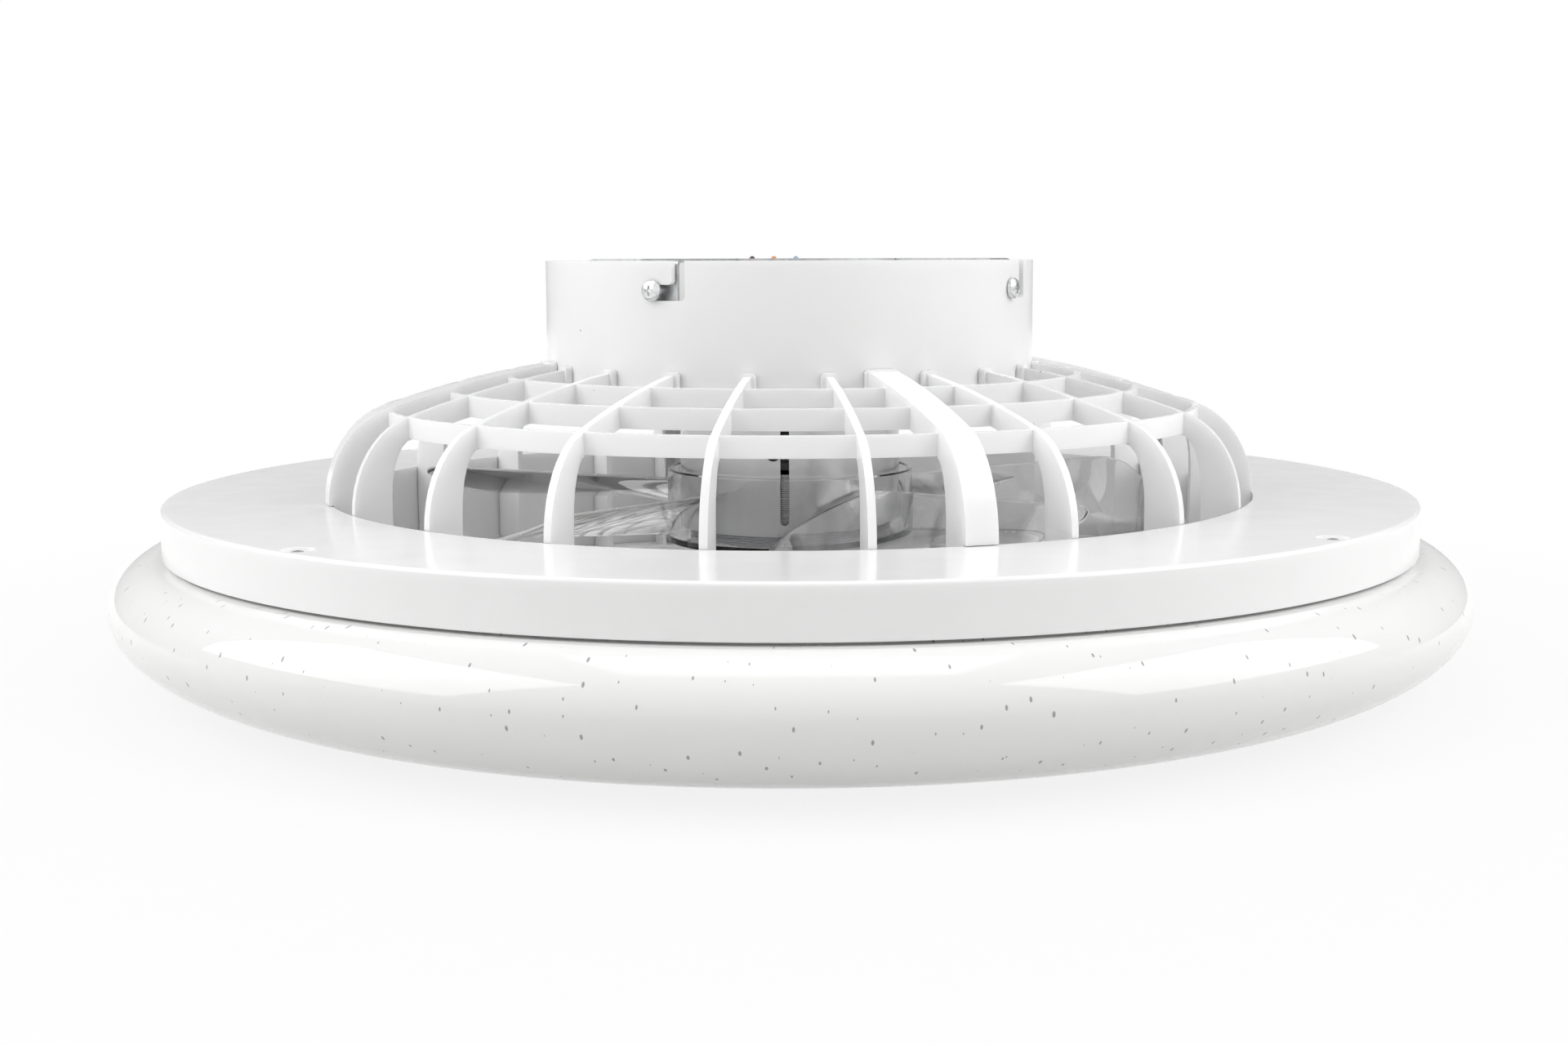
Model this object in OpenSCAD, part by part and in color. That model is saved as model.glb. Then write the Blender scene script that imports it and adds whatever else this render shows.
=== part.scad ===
// Low-profile ceiling fan with a ring light. It stands on its diffuser, as it does before it is hung.
// Origin: the axis, at the height of the diffuser's lowest line. +Z points up to the ceiling.
// Bearings round the axis are in degrees, from the front (-Y) towards the right (+X).

/* [Diffuser] */
// Outside diameter of the opal ring, the widest part of the lamp
diffuser_d = 600; // [592:1:612]
// Wall of the opal ring
diffuser_t = 2; // [1.6:0.1:2.6]
// Height of its widest line above its lowest line
belly_h = 35; // [31:0.5:40]
// Radial width of its underside, from the widest line in to the lowest
belly_w = 64; // [56:1:70]
// Height of its shoulder above the widest line
shoulder_h = 19.2; // [17:0.2:22]
// Radial width of its shoulder
shoulder_w = 20; // [17:0.5:22]
// Height of its inner edge above its lowest line
inner_rise = 20; // [16:0.5:26]

/* [Ring housing] */
// Outside diameter of the flat white ring
plate_d = 554; // [546:1:562]
// Thickness of the flat ring
plate_t = 2.5; // [2:0.1:3.5]
// Height of the ring's outside skirt
skirt_h = 20; // [17:0.5:24]
// Wall of the skirt and of the air duct
skirt_t = 2.2; // [1.8:0.1:3]
// Rounding of the ring's top edge
rim_r = 1.6; // [0.8:0.1:2]
// Dark gap between the skirt and the diffuser
shadow_gap = 1.4; // [1:0.1:3]
// Diameter of the air opening
hole_d = 415; // [408:1:424]
// Depth of the air duct below the flat ring
duct_h = 63; // [60:0.5:66]
// Diameter of the dimple round each diffuser screw
dimple_d = 12.5; // [10:0.5:14]
// Depth of the dimple
dimple_h = 1.3; // [0.8:0.1:1.5]

/* [Upper cage] */
// Thickness of a thin rib
rib_t = 3.2; // [2.6:0.1:4]
// Width of a rib that covers the cables
duct_rib_w = 13; // [11:0.5:15]
// How far a cable rib stands out beyond a thin one
duct_rib_proud = 1.8; // [1:0.1:2.4]
// Wall of a cable rib
duct_rib_wall = 1.8; // [1.4:0.1:2.2]
// Radial depth of the ribs in the air opening
rib_depth = 16; // [14:0.5:17]
// Height of the rings and of the ribs between them
cage_ring_h = 9; // [7:0.5:11]
// Thickness of the rings
cage_ring_t = 2.6; // [2:0.1:3.4]
// Outside diameter of the small ring
ring_1_d = 263; // [258:1:268]
// Outside diameter of the middle ring
ring_2_d = 313.4; // [308:1:319]
// Outside diameter of the large ring
ring_3_d = 366; // [360:1:370]
// Height of the top of the cage's arc above the flat ring
dome_h = 61.6; // [58:0.5:66]
// Radius of that arc
dome_r = 431; // [400:5:470]
// Distance of the arc's top from the axis
dome_offset = 46; // [38:1:54]

/* [Canopy] */
// Outside diameter of the canopy
canopy_d = 219.4; // [214:0.5:224]
// Wall of the canopy
canopy_t = 3; // [2.4:0.1:3.4]
// Height of the canopy's top edge above the flat ring
canopy_rise = 102.7; // [98:0.5:110]
// Height of the canopy's floor above the flat ring
floor_rise = 44; // [41:0.5:46]
// Thickness of the canopy's floor and of the cage's seat under it
floor_t = 3; // [2.4:0.1:4]
// Diameter of the opening for the motor in that floor
floor_hole_d = 176; // [160:1:180]
// Height of the slots that the bracket's screws lock in
slot_h = 6.5; // [6:0.1:7.4]
// Width of the way in to each slot
slot_w = 6; // [5.4:0.1:7]
// Angle that the lamp turns to lock
lock_turn = 6.25; // [5.5:0.25:8]
// Depth of the locking screws below the canopy's top edge
lock_drop = 12; // [10:0.5:15]

/* [Ceiling bracket] */
// Thickness of the bracket's sheet
bracket_t = 1.5; // [1.2:0.1:2]
// Width of each arm and its tab
arm_w = 19; // [16:0.5:22]
// Height of the tabs
tab_h = 20; // [18:0.5:24]
// Diameter of the bracket's middle
bracket_hub_d = 120; // [112:1:130]
// Diameter of the cable opening
cable_hole_d = 50; // [44:1:54]
// Pitch circle of the ceiling screws
ceiling_pcd = 150; // [144:1:160]
// Diameter of the holes for the ceiling screws
ceiling_hole_d = 5.5; // [4.5:0.1:6.5]
// Diameter of the locking screws
lock_screw_d = 4; // [3.5:0.1:4.4]
// Diameter of a mains lead
lead_d = 2.4; // [2:0.1:2.6]

/* [Motor] */
// Diameter of the motor's fixed can
motor_d = 100; // [96:1:104]
// Height of the can's floor above the flat ring
motor_floor_rise = 12; // [11:0.5:14]
// Depth of the can's open lower edge below the flat ring
can_drop = 17; // [15:0.5:19]
// Wall of the can
motor_t = 2; // [1.6:0.1:2.6]
// Thickness of the plate that carries the motor
motor_plate_t = 2; // [1.5:0.1:3]
// Height of the rotor
rotor_h = 31.5; // [31:0.5:34]
// Wall of the rotor
rotor_t = 1.5; // [1.2:0.1:2]
// Thickness of the magnets
magnet_t = 4; // [3:0.5:5]
// Diameter of the shaft at the bearings
shaft_d = 8; // [7:0.5:9]
// Outside diameter of the bearings
bearing_d = 22; // [21:0.5:24]
// Width of the bearings
bearing_w = 7; // [6:0.5:7]

/* [Impeller] */
// Diameter over the blade tips
impeller_d = 360; // [340:1:368]
// Wall of the hub
hub_t = 2.2; // [1.8:0.1:3]
// Height of the hub
hub_h = 33; // [30:0.5:34]
// Thickness of a blade at its middle
blade_t = 2.4; // [1.8:0.1:3]
// Angle that a blade covers at the hub
root_span = 51; // [44:1:62]
// Angle that a blade covers at its tip
tip_span = 50; // [40:1:58]
// Height of a blade's rear edge above the flat ring, at the hub
root_rise = 2; // [0:0.5:4]
// Height of a blade's rear edge above the flat ring, at the tip
tip_rise = 6; // [3:0.5:8]
// Fall of a blade from its rear edge to its front edge, at the hub
root_fall = 23; // [18:0.5:24]
// Fall of a blade from its rear edge to its front edge, at the tip
tip_fall = 26; // [18:0.5:30]
// Rounding of a blade's tip corners
tip_corner = 12; // [6:0.5:18]

/* [Light] */
// Width of the ring board that carries the light chips
board_w = 40; // [34:0.5:42]
// Thickness of the ring board
board_t = 1.6; // [1:0.1:2]
// Distance from the flat ring down to the light tray
tray_drop = 14; // [12:0.5:17]

/* [Lower guard] */
// Height of the guard's ribs and rings
guard_h = 4; // [3:0.25:4.5]
// Thickness of the guard's ribs and rings
guard_rib_t = 2.4; // [1.8:0.1:3]
// Diameter of the guard's middle
guard_hub_d = 80; // [72:1:90]

/* [Hidden] */
$fn = 96;

// Clearances
skin = 0.01;            // overlap that lets two shapes of one piece fuse
bite = 1;               // how far a rib or web reaches into the shape it joins
over = 1;               // how far a cut reaches beyond the piece it cuts
thread_gap = 0.05;      // round a screw's thread in the piece that holds it
pass_gap = 0.3;         // round a screw where it only passes
run_gap = 0.03;         // round the shaft, in a bearing
cage_gap = 0.3;         // round the cage, in the air opening
rib_gap = 0.6;          // round the ribs, in the air opening
lap_gap = 0.2;          // between the canopy and the cage that laps it
head_gap = 0.35;        // round a locking screw in its slot, and under its head
bracket_gap = 1;        // round the bracket, in the canopy
spin_gap = 2.2;         // between the rotor and the can round it
hub_gap = 3.8;          // between the can and the clear hub round it
box_gap = 3;            // between the motor's screws and the boxes beside them
clip_gap = 0.4;         // between the lower bearing and the shaft's clip
air_gap = 0.8;          // between the stator and the magnets
lip_gap = 2;            // between the diffuser's lip and the skirt
rim_gap = 0.5;          // between the diffuser's inner edge and the air duct
guard_gap = 0.4;        // between the lower guard's face and the air duct's end

// Screws
screw_d = 4;
screw_head = [8, 2.6];
small_screw_d = 3;
small_head = [5.6, 2];
lock_head = [8.8, 2.8];
guard_head = [8, 2];
dimple_head = [5, 1];
nut_af = 7;
nut_h = 3;
thread_h = 6;           // depth that a screw threads into plastic
blind_gap = 2;          // beyond a screw's end, in a blind hole
screw_end = 1;          // that a screw or the shaft shows beyond what holds it

// Bearings of what repeats
quarter = [0, 90, 180, 270];
duct_rib_at = 19.5;
thin_ribs_after = [11.3, 28.15, 45, 61.85, 78.7];
lock_at = -30.5;
canopy_screw_at = lock_at + quarter[1] / 2;
guard_screw_after = 53.4;
guard_screw_at = duct_rib_at + guard_screw_after;
dimple_at = -41.3;
blade_count = 5;
blade_at = 43;

// Heights of the main faces
z_belly = belly_h;
z_neck = z_belly + shoulder_h;
z_skirt = z_neck + shadow_gap;
z_plate = z_skirt + skirt_h;
z_duct = z_plate - duct_h;
z_floor = z_plate + floor_rise;
z_motor_plate = z_floor + floor_t;
z_canopy = z_plate + canopy_rise;
z_lock = z_canopy - lock_drop;

// Radii of the main walls
hole_r = hole_d / 2;
duct_r = hole_r + skirt_t;
foot_r = hole_r - cage_gap;
rib_out_r = hole_r - rib_gap;
rib_in_r = rib_out_r - rib_depth;
plate_r = plate_d / 2;
lip_r = plate_r - skirt_t - lip_gap;
canopy_r = canopy_d / 2;
canopy_in_r = canopy_r - canopy_t;
lap_r = canopy_r + lap_gap;
ring_ds = [ring_1_d, ring_2_d, ring_3_d];
rotor_d = motor_d - 2 * (motor_t + spin_gap);
hub_d = motor_d + 2 * (hub_gap + hub_t);
motor_screw_in = 1;
motor_screw_r = motor_d / 2 + motor_screw_in;

// A place at a bearing and a radius, with +X pointing outwards
module at(bearing, r = 0) rotate([0, 0, bearing - 90]) translate([r, 0, 0]) children();

module tube(r_out, r_in, z0, z1) translate([0, 0, z0]) difference() {
    cylinder(h = z1 - z0, r = r_out);
    hole(0, z1 - z0, 2 * r_in);
}

// What cuts a round hole through a sheet that lies on height z
module hole(z, t, d) translate([0, 0, z - over]) cylinder(h = t + 2 * over, d = d);

// Points of a quarter curve about (x, y): a true ellipse at power 2, fuller or flatter at others
function curve(x, y, a, b, from, to, steps = 16, power = 2) = [
    for (i = [0 : steps]) let (t = from + (to - from) * i / steps)
        [x + a * sign(cos(t)) * pow(abs(cos(t)), 2 / power),
         y + b * sign(sin(t)) * pow(abs(sin(t)), 2 / power)]
];

// A pan-head screw that points up, with its head under z = 0 and a cross recess
module screw(d, length, head) {
    rim_h = head[1] * 0.4;
    difference() {
        union() {
            rotate_extrude() polygon(concat([[0, 0], [head[0] / 2, 0]],
                curve(0, -rim_h, head[0] / 2, head[1] - rim_h, 0, -90, 6)));
            cylinder(h = length, d = d, $fn = 32);
        }
        for (a = [0, 90]) rotate(a) translate([0, 0, -head[1]])
            cube([head[0] * 0.5, head[0] * 0.12, head[1] * 1.1], center = true);
    }
}

module nut(across, h, d) difference() {
    cylinder(h = h, d = across / cos(30), $fn = 6);
    hole(0, h, d + 2 * thread_gap);
}

// A flat outline with round corners, made of squares and circles
module rounded(w, d, r) {
    square([w - 2 * r, d], center = true);
    square([w, d - 2 * r], center = true);
    for (x = [-1, 1], y = [-1, 1]) translate([x * (w / 2 - r), y * (d / 2 - r)]) circle(r, $fn = 32);
}

// ---- Ceiling bracket ----

bracket_proud = 0.8;
bracket_r = canopy_in_r - bracket_gap;
z_bracket = z_canopy + bracket_proud - bracket_t;
tab_bend_r = 3;
block_size = [30, 17, 16];
block_at = [-7, 23.5];
lead_rise = 1.1;
lead_run = 6;
lead_in = 4;
way_depth = 5;
way_drop = 13;
lock_end = 0.5;

function way_x(way) = block_at[0] + block_size[0] * (way - 1) / 3;

// A flat arm that bends down into a tab
module bracket_arm() translate([0, arm_w / 2, 0]) rotate([90, 0, 0]) linear_extrude(arm_w) polygon(concat(
    [[0, z_bracket], [0, z_bracket + bracket_t]],
    curve(bracket_r - tab_bend_r, z_bracket + bracket_t - tab_bend_r, tab_bend_r, tab_bend_r, 90, 0, 6),
    [[bracket_r, z_bracket + bracket_t - tab_h], [bracket_r - bracket_t, z_bracket + bracket_t - tab_h]],
    curve(bracket_r - tab_bend_r, z_bracket + bracket_t - tab_bend_r,
        tab_bend_r - bracket_t, tab_bend_r - bracket_t, 0, 90, 5)));

module ceiling_bracket() color("silver") difference() {
    union() {
        translate([0, 0, z_bracket]) cylinder(h = bracket_t, d = bracket_hub_d);
        for (q = quarter) at(lock_at + q) bracket_arm();
    }
    hole(z_bracket, bracket_t, cable_hole_d);
    for (q = quarter) {
        at(lock_at + q, ceiling_pcd / 2) hole(z_bracket, bracket_t, ceiling_hole_d);
        at(lock_at + q, bracket_r - bracket_t) translate([0, 0, z_lock]) rotate([0, 90, 0])
            hole(0, bracket_t, lock_screw_d + 2 * thread_gap);
    }
}

module bracket_nuts() color("gainsboro") for (q = quarter)
    at(lock_at + q, bracket_r - bracket_t - nut_h) translate([0, 0, z_lock]) rotate([0, 90, 0])
        nut(nut_af, nut_h, lock_screw_d);

module locking_screws() color("whitesmoke") for (q = quarter)
    at(lock_at + q, canopy_r + head_gap) translate([0, 0, z_lock]) rotate([0, -90, 0])
        screw(lock_screw_d, canopy_r + head_gap - bracket_r + bracket_t + nut_h + lock_end, lock_head);

module terminal_block() color("ghostwhite") difference() {
    translate([block_at[0] - block_size[0] / 2, block_at[1] - block_size[1] / 2, z_bracket - block_size[2]])
        cube(block_size);
    for (way = [0 : 2]) translate([way_x(way), block_at[1] - block_size[1] / 2 - over, z_bracket - way_drop])
        rotate([-90, 0, 0]) cylinder(h = way_depth + over, d = lead_d + 2 * pass_gap, $fn = 32);
}

// A mains lead: out of the block's front, up through the cable opening, and bent over on itself
module lead(way) {
    z_in = z_bracket - way_drop;
    z_out = z_bracket + bracket_t + lead_rise - lead_d / 2;
    bend_r = (z_out - z_in) / 2;
    bend_y = block_at[1] - block_size[1] / 2 - lead_run;
    translate([way_x(way), bend_y, 0]) {
        translate([0, 0, z_in]) rotate([-90, 0, 0]) cylinder(h = lead_run + lead_in, d = lead_d, $fn = 24);
        translate([0, 0, z_in + bend_r]) rotate([90, 90, -90]) rotate_extrude(angle = 180)
            translate([bend_r, 0]) circle(d = lead_d, $fn = 24);
        translate([0, 0, z_out]) rotate([-90, 0, 0]) cylinder(h = lead_run, d = lead_d, $fn = 24);
    }
}

module live_lead() color("saddlebrown") lead(0);
module neutral_lead() color("steelblue") lead(2);
module earth_lead() color("orange") lead(1);

// ---- Canopy ----

canopy_screw_r = (floor_hole_d / 2 + canopy_in_r) / 2;
slot_low = slot_h - lock_screw_d / 2 - head_gap;
slot_round = 1.6;
slot_half = canopy_r * sin(lock_turn / 2);

// The slot that a locking screw drops into and turns along, seen from outside, about the middle of its turn
module slot_outline() {
    left = -slot_half - lock_screw_d / 2 - 2 * head_gap;
    right = slot_half + slot_w / 2;
    leg = right - slot_w;
    top = lock_drop + slot_low + over;
    polygon(concat(
        curve(left + slot_round, slot_round, slot_round, slot_round, 180, 270, 5),
        curve(right - slot_round, slot_round, slot_round, slot_round, 270, 360, 5),
        [[right, top], [leg, top]],
        curve(leg - slot_round, slot_h + slot_round, slot_round, slot_round, 0, -90, 5),
        curve(left + slot_round, slot_h - slot_round, slot_round, slot_round, 90, 180, 5)));
}

module canopy() color("gainsboro") difference() {
    union() {
        tube(canopy_r, canopy_in_r, z_floor, z_canopy);
        tube(canopy_r - skin, floor_hole_d / 2, z_floor, z_floor + floor_t);
    }
    for (q = quarter) {
        at(lock_at + lock_turn / 2 + q, canopy_in_r - 2 * over) translate([0, 0, z_lock - slot_low])
            rotate([90, 0, 90]) linear_extrude(canopy_t + 4 * over) slot_outline();
        at(canopy_screw_at + q, canopy_screw_r) hole(z_floor, floor_t, screw_d + 2 * pass_gap);
    }
}

module canopy_screws() color("silver") for (q = quarter)
    at(canopy_screw_at + q, canopy_screw_r) translate([0, 0, z_floor - floor_t])
        screw(screw_d, 2 * floor_t + motor_plate_t + screw_end, screw_head);

motor_plate_hole_r = 12;
// Each box: width, depth, height, and the side of the motor that it stands on
driver_box = [80, 32, 26, 1];
fan_box = [66, 32, 24, -1];
boxes = [driver_box, fan_box];
ear_l = 9;
ear_w = 14;
ear_t = 2;
box_round = 3;

module motor_plate() color("silver") difference() {
    tube(canopy_in_r - pass_gap, motor_plate_hole_r, z_motor_plate, z_motor_plate + motor_plate_t);
    for (q = quarter) {
        at(canopy_screw_at + q, canopy_screw_r) hole(z_motor_plate, motor_plate_t, screw_d + 2 * thread_gap);
        at(q, motor_screw_r) hole(z_motor_plate, motor_plate_t, screw_d + 2 * pass_gap);
    }
    for (box = boxes) box_screw_places(box)
        hole(z_motor_plate, motor_plate_t, small_screw_d + 2 * thread_gap, $fn = 32);
}

// Middle of a box, beside the heads of the motor's screws
function box_y(box) = box[3] * (motor_screw_r + screw_head[0] / 2 + box_gap + box[1] / 2);

module box_screw_places(box) for (s = [-1, 1])
    translate([s * (box[0] / 2 + ear_l / 2), box_y(box), 0]) children();

module electronics_box(box) translate([0, 0, z_motor_plate + motor_plate_t]) difference() {
    union() {
        translate([0, box_y(box), 0]) linear_extrude(box[2]) rounded(box[0], box[1], box_round);
        translate([0, box_y(box), 0]) linear_extrude(ear_t) rounded(box[0] + 2 * ear_l, ear_w, box_round);
    }
    box_screw_places(box) hole(0, ear_t, small_screw_d + 2 * pass_gap, $fn = 32);
}

module led_driver() color("white") electronics_box(driver_box);
module fan_controller() color("ivory") electronics_box(fan_box);

module box_screws() color("silver") for (box = boxes) box_screw_places(box)
    translate([0, 0, z_motor_plate + motor_plate_t + ear_t]) mirror([0, 0, 1])
        screw(small_screw_d, ear_t + motor_plate_t, small_head);

// ---- Upper cage ----

seat_band_t = 2.4;
seat_band_h = 5;
pad_w = 6.7;
pad_t = 3;
pad_more_w = 1;         // that a cable rib's end is wider than the rib
pad_round = 2;
pad_rise = 1.1;
duct_pad_rise = duct_rib_proud + 0.3;
foot_rise = 0.3;
ring_sink = 0.25;
window_round_w = 9.5;
window_round_h = 24;
flange_t = 2.5;
flange_w = 14;
foot_ring_h = 3;
foot_ring_in = 2;       // that the foot ring reaches in past the ribs
guard_seat = guard_h + guard_gap;
z_flange = z_duct + guard_seat;
foot_top = z_flange + flange_t + foot_ring_h;
guard_screw_r = hole_r - flange_w / 2;

// Height of the cage's outside at a radius inside the large ring
function dome_z(r) = z_plate + dome_h - dome_r + sqrt(pow(dome_r, 2) - pow(r - dome_offset, 2));

// The shoulder is the quarter ellipse that leaves the dome at the large ring without a kink
// and stands upright where it meets the flat ring.
z_foot = z_plate + foot_rise;
shoulder_r = ring_3_d / 2;
shoulder_rise = dome_z(shoulder_r) - z_foot;
shoulder_run = foot_r - shoulder_r;
shoulder_slope = (shoulder_r - dome_offset) / sqrt(pow(dome_r, 2) - pow(shoulder_r - dome_offset, 2));
shoulder_ratio = sqrt(pow(shoulder_run, 2)
    / (pow(shoulder_rise, 2) - 2 * shoulder_run * shoulder_slope * shoulder_rise));
shoulder_a = shoulder_run + shoulder_slope * shoulder_rise * pow(shoulder_ratio, 2);
shoulder_b = shoulder_a / shoulder_ratio;
shoulder_from = acos((shoulder_a - shoulder_run) / shoulder_a);

function dome_points(lift, steps = 5) = [
    for (i = [0 : steps - 1]) let (r = mix(lap_r - bite, shoulder_r, i / steps)) [r, dome_z(r) + lift]
];
function reversed(list) = [for (i = [len(list) - 1 : -1 : 0]) list[i]];
function mix(a, b, k) = a + (b - a) * k;

// Side view of a rib: out over the dome, down the shoulder, and down the air duct to the foot ring.
// Its outside moves out by proud, and its inside moves in by open.
function rib_outline(proud = 0, open = 0) = concat(
    dome_points(proud),
    curve(foot_r - shoulder_a, z_foot, shoulder_a + proud, shoulder_b + proud, shoulder_from, 0, 10),
    [if (foot_r + proud > rib_out_r) [rib_out_r, z_foot]],
    [[min(foot_r + proud, rib_out_r), foot_top - bite - open], [rib_in_r - open, foot_top - bite - open]],
    curve(rib_in_r - window_round_w, dome_z(shoulder_r) - cage_ring_h - window_round_h,
        window_round_w - open, window_round_h - open, 0, 90, 6),
    reversed(dome_points(-cage_ring_h - open)));

module rib(width, proud = 0, open = 0) rotate([90, 0, 0]) linear_extrude(width, center = true)
    polygon(rib_outline(proud, open));

// A cable rib is a channel, open towards the axis
module duct_rib() difference() {
    rib(duct_rib_w, duct_rib_proud);
    rib(duct_rib_w - 2 * duct_rib_wall, -duct_rib_wall, over);
}

// The end of a rib, where it swells against the canopy
module rib_pad(width, rise) {
    side = width / 2;
    top = dome_z(lap_r) + rise;
    low = z_floor - floor_t / 2;
    translate([lap_r - bite, 0, 0]) rotate([90, 0, 90]) linear_extrude(pad_t + bite) polygon(concat(
        [[-side, low], [side, low]],
        curve(side - pad_round, top - pad_round, pad_round, pad_round, 0, 90, 5),
        curve(pad_round - side, top - pad_round, pad_round, pad_round, 90, 180, 5)));
}

module upper_cage() color("white") difference() {
    union() {
        for (d = ring_ds) tube(d / 2, d / 2 - cage_ring_t,
            dome_z(d / 2) - cage_ring_h + ring_sink, dome_z(d / 2) - ring_sink);
        tube(foot_r, rib_in_r - foot_ring_in, foot_top - foot_ring_h, foot_top);
        translate([0, 0, z_floor - floor_t]) cylinder(h = floor_t + seat_band_h, r = lap_r + seat_band_t);
        for (q = quarter) {
            at(duct_rib_at + q) duct_rib();
            at(duct_rib_at + q) rib_pad(duct_rib_w + pad_more_w, duct_pad_rise);
            for (b = thin_ribs_after) at(duct_rib_at + q + b) {
                rib(rib_t);
                rib_pad(pad_w, pad_rise);
            }
        }
    }
    translate([0, 0, z_floor]) cylinder(h = canopy_rise, r = lap_r);
    hole(z_floor - floor_t, floor_t, floor_hole_d);
    for (q = quarter) {
        at(canopy_screw_at + q, canopy_screw_r) hole(z_floor - floor_t, floor_t, screw_d + 2 * pass_gap);
        at(guard_screw_at + q, guard_screw_r)
            hole(foot_top - foot_ring_h, foot_ring_h, screw_d + 2 * thread_gap);
    }
}

// ---- Ring housing ----

lip_h = 8.5;
lug_w = 12;
lug_depth = 8;
lug_r = lip_r - lug_depth / 2;
z_lug = z_neck + lip_h;
flange_r = hole_r - flange_w;
boss_r = 4.6;
z_tray = z_plate - tray_drop;
tray_mid_r = (duct_r + lip_r - diffuser_t - lug_depth) / 2;
tray_screw_count = 8;

module ring_housing() color("white") difference() {
    union() {
        rotate_extrude() polygon(concat(
            [[hole_r, z_duct], [hole_r, z_plate]],
            curve(plate_r - rim_r, z_plate - rim_r, rim_r, rim_r, 90, 0, 6),
            [[plate_r, z_skirt], [plate_r - skirt_t, z_skirt],
             [plate_r - skirt_t, z_plate - plate_t], [duct_r, z_plate - plate_t], [duct_r, z_duct]]));
        tube(hole_r + skin, flange_r, z_flange, z_flange + flange_t);
        for (i = [0 : tray_screw_count - 1]) at(i * 360 / tray_screw_count, tray_mid_r)
            translate([0, 0, z_tray]) cylinder(h = tray_drop - plate_t + skin, r = boss_r);
        for (q = quarter) at(dimple_at + q, lug_r)
            translate([0, 0, z_lug]) cylinder(h = z_plate - plate_t - z_lug + skin, r = boss_r);
    }
    for (i = [0 : tray_screw_count - 1]) at(i * 360 / tray_screw_count, tray_mid_r)
        translate([0, 0, z_tray - over])
            cylinder(h = over + thread_h + blind_gap, d = small_screw_d + 2 * thread_gap, $fn = 32);
    for (q = quarter) {
        at(dimple_at + q, lug_r) {
            translate([0, 0, z_plate - dimple_h]) cylinder(h = dimple_h + over, d = dimple_d);
            hole(z_lug, z_plate - z_lug, small_screw_d + 2 * pass_gap, $fn = 32);
        }
        at(guard_screw_at + q, guard_screw_r) hole(z_flange, flange_t, screw_d + 2 * pass_gap);
    }
}

tray_t = 1;
tray_margin = 2;

module led_tray() color("lightgray") difference() {
    tube(lip_r - diffuser_t - lug_depth - tray_margin, duct_r + tray_margin, z_tray - tray_t, z_tray);
    tray_holes(z_tray - tray_t, tray_t);
}

module tray_holes(z, t) for (i = [0 : tray_screw_count - 1]) at(i * 360 / tray_screw_count, tray_mid_r)
    hole(z, t, small_screw_d + 2 * pass_gap, $fn = 32);

module led_board() color("white") difference() {
    tube(tray_mid_r + board_w / 2, tray_mid_r - board_w / 2, z_tray - tray_t - board_t, z_tray - tray_t);
    tray_holes(z_tray - tray_t - board_t, board_t);
}

chip_size = [3.5, 2.8, 0.8];
chips_a_row = 36;
chip_row_gap = 18;

module led_chips() color("khaki") for (row = [-1, 1], i = [0 : chips_a_row - 1])
    at((i + 0.5) * 360 / chips_a_row, tray_mid_r + row * chip_row_gap / 2)
        translate([0, 0, z_tray - tray_t - board_t - chip_size[2] / 2]) cube(chip_size, center = true);

module tray_screws() color("silver") for (i = [0 : tray_screw_count - 1])
    at(i * 360 / tray_screw_count, tray_mid_r) translate([0, 0, z_tray - tray_t - board_t])
        screw(small_screw_d, tray_t + board_t + thread_h, small_head);

// ---- Diffuser ----

belly_r = diffuser_d / 2 - belly_w;
inner_edge_r = duct_r + rim_gap;
inner_w = belly_r - inner_edge_r;
shoulder_top_r = diffuser_d / 2 - shoulder_w;
inner_lip_h = 9;

module diffuser() color("white") difference() {
    union() {
        rotate_extrude() polygon(concat(
            [[lip_r, z_lug], [lip_r, z_neck]],
            curve(shoulder_top_r, z_belly, shoulder_w, shoulder_h, 90, 0, 16, 1.75),
            curve(belly_r, z_belly, belly_w, belly_h, 0, -90, 22),
            curve(belly_r, inner_rise, inner_w, inner_rise, -90, -180, 12),
            [[inner_edge_r, inner_rise + inner_lip_h], [inner_edge_r + diffuser_t, inner_rise + inner_lip_h]],
            curve(belly_r, inner_rise, inner_w - diffuser_t, inner_rise - diffuser_t, -180, -90, 12),
            curve(belly_r, z_belly, belly_w - diffuser_t, belly_h - diffuser_t, -90, 0, 22),
            curve(shoulder_top_r, z_belly, shoulder_w - diffuser_t, shoulder_h - diffuser_t, 0, 90, 16, 1.75),
            [[lip_r - diffuser_t, z_neck - diffuser_t], [lip_r - diffuser_t, z_lug]]));
        for (q = quarter) at(dimple_at + q, lip_r - lug_depth - diffuser_t / 2)
            translate([0, -lug_w / 2, z_neck]) cube([lug_depth, lug_w, lip_h]);
    }
    for (q = quarter) at(dimple_at + q, lug_r) hole(z_neck, lip_h, small_screw_d + 2 * thread_gap, $fn = 32);
}

module diffuser_screws() color("gray") for (q = quarter) at(dimple_at + q, lug_r)
    translate([0, 0, z_plate - dimple_h]) mirror([0, 0, 1])
        screw(small_screw_d, z_plate - dimple_h - z_lug + thread_h, dimple_head);

// ---- Lower guard ----

guard_rib_count = 24;
guard_ring_count = 6;
guard_hole_r = 6;
guard_cap_h = 6;
guard_cap_in = 4;       // that the cap's edge lies inside the guard's middle
guard_cap_hollow = 3;
z_guard = z_flange - guard_h;
guard_sink = guard_h * 0.6;

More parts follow.
